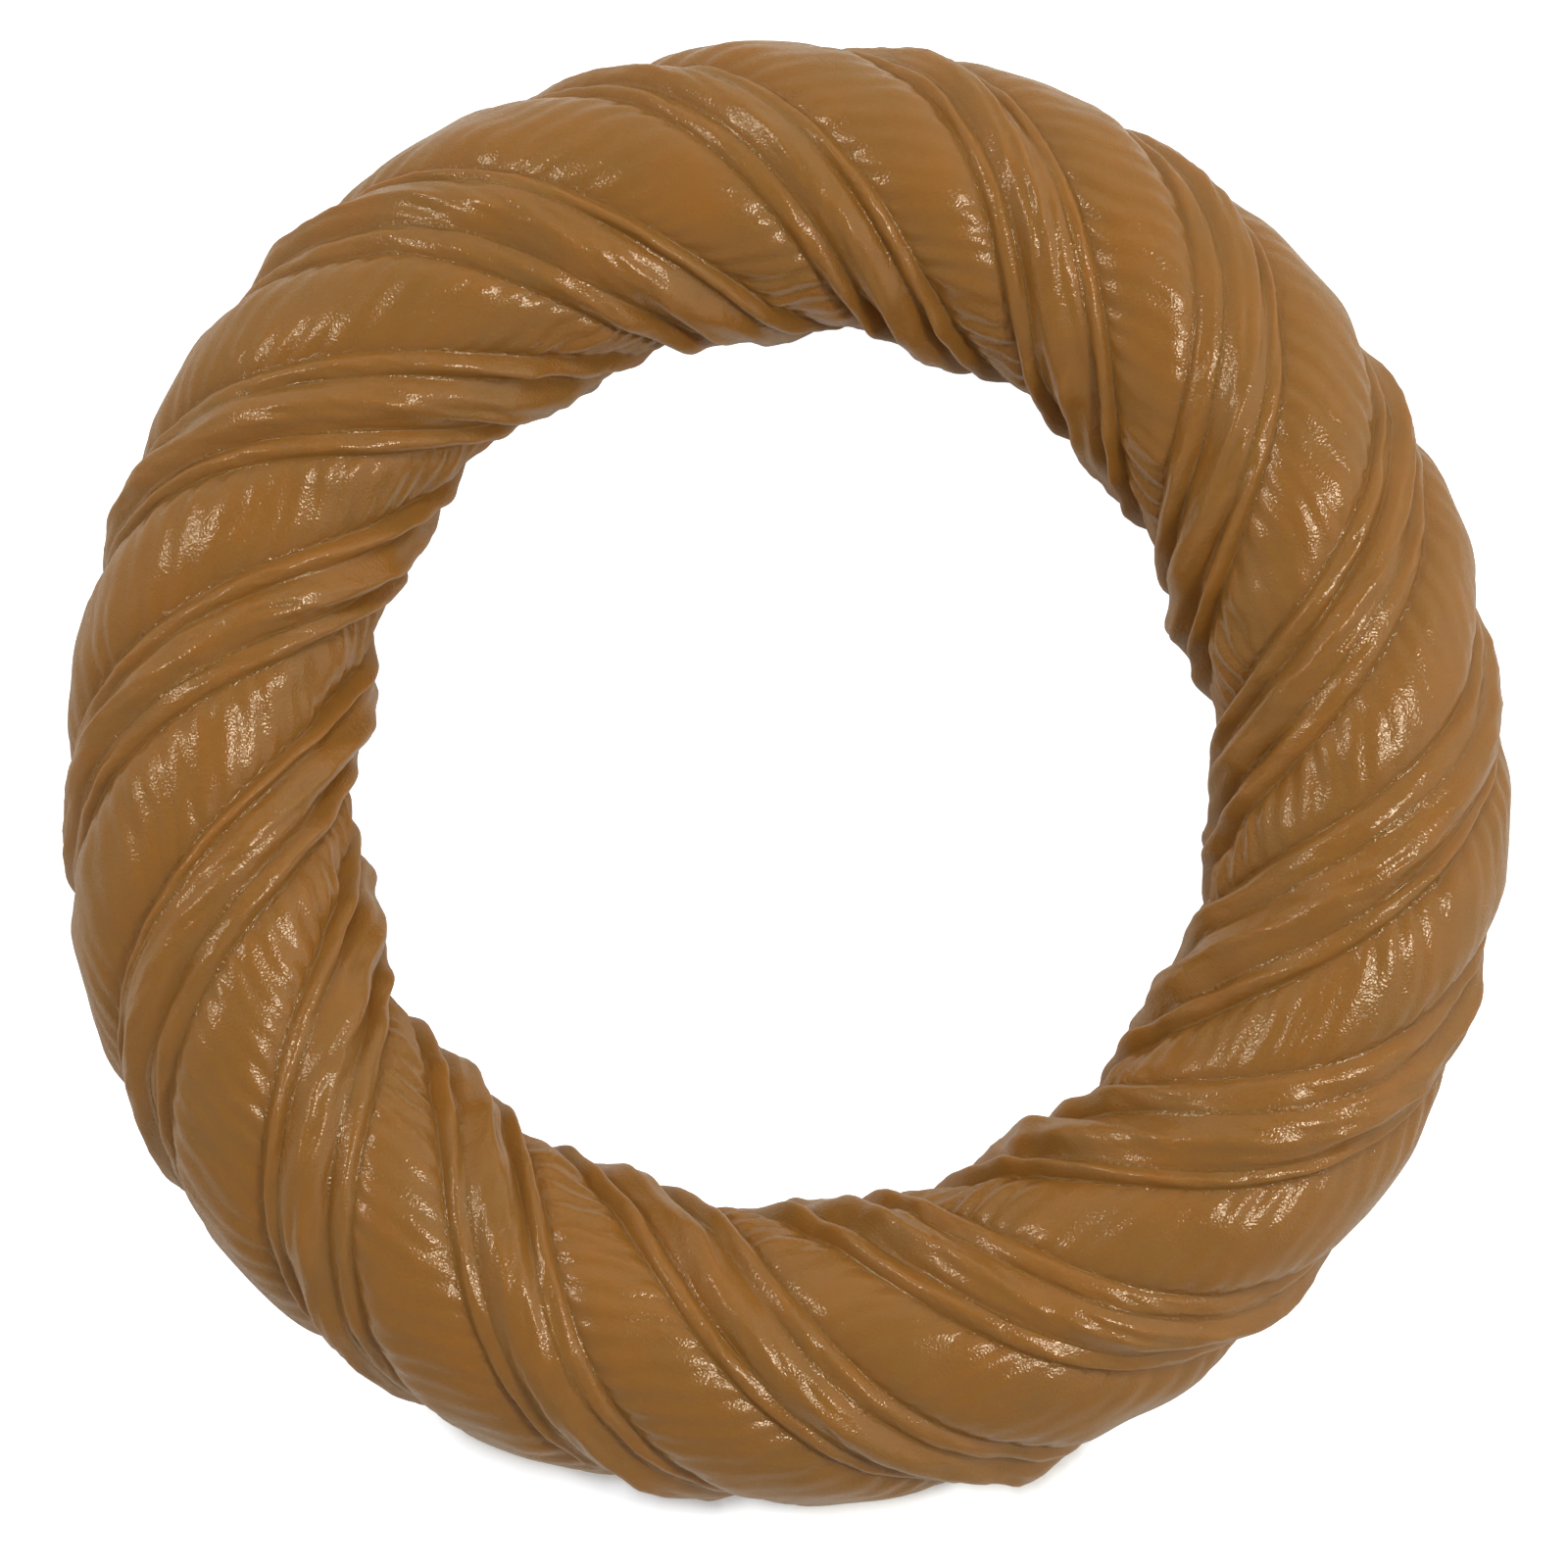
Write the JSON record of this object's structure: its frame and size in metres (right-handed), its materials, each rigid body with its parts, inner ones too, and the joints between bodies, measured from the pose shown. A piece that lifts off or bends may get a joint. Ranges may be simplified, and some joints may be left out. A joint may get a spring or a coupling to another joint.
{
  "type": "chew ring",
  "caption": "Solid moulded nylon chew ring for a large dog, a closed round ring whose surface imitates twisted rope: wide ribbed plies with bundles of thick and thin cords between them.",
  "frame": {"origin": "on the ring's axis, in the plane that the ring lies on", "axes": "+Z along the ring's axis, up from the surface that the ring lies on; +Y is the top of the ring as pictured and +X its right"},
  "size_m": [0.1294, 0.1306, 0.0275],
  "materials": {
    "nylon": "caramel brown solid nylon, moulded, half gloss, slightly translucent"
  },
  "bodies": {
    "root": {"ring_body": "nylon"}
  },
  "joints": []
}
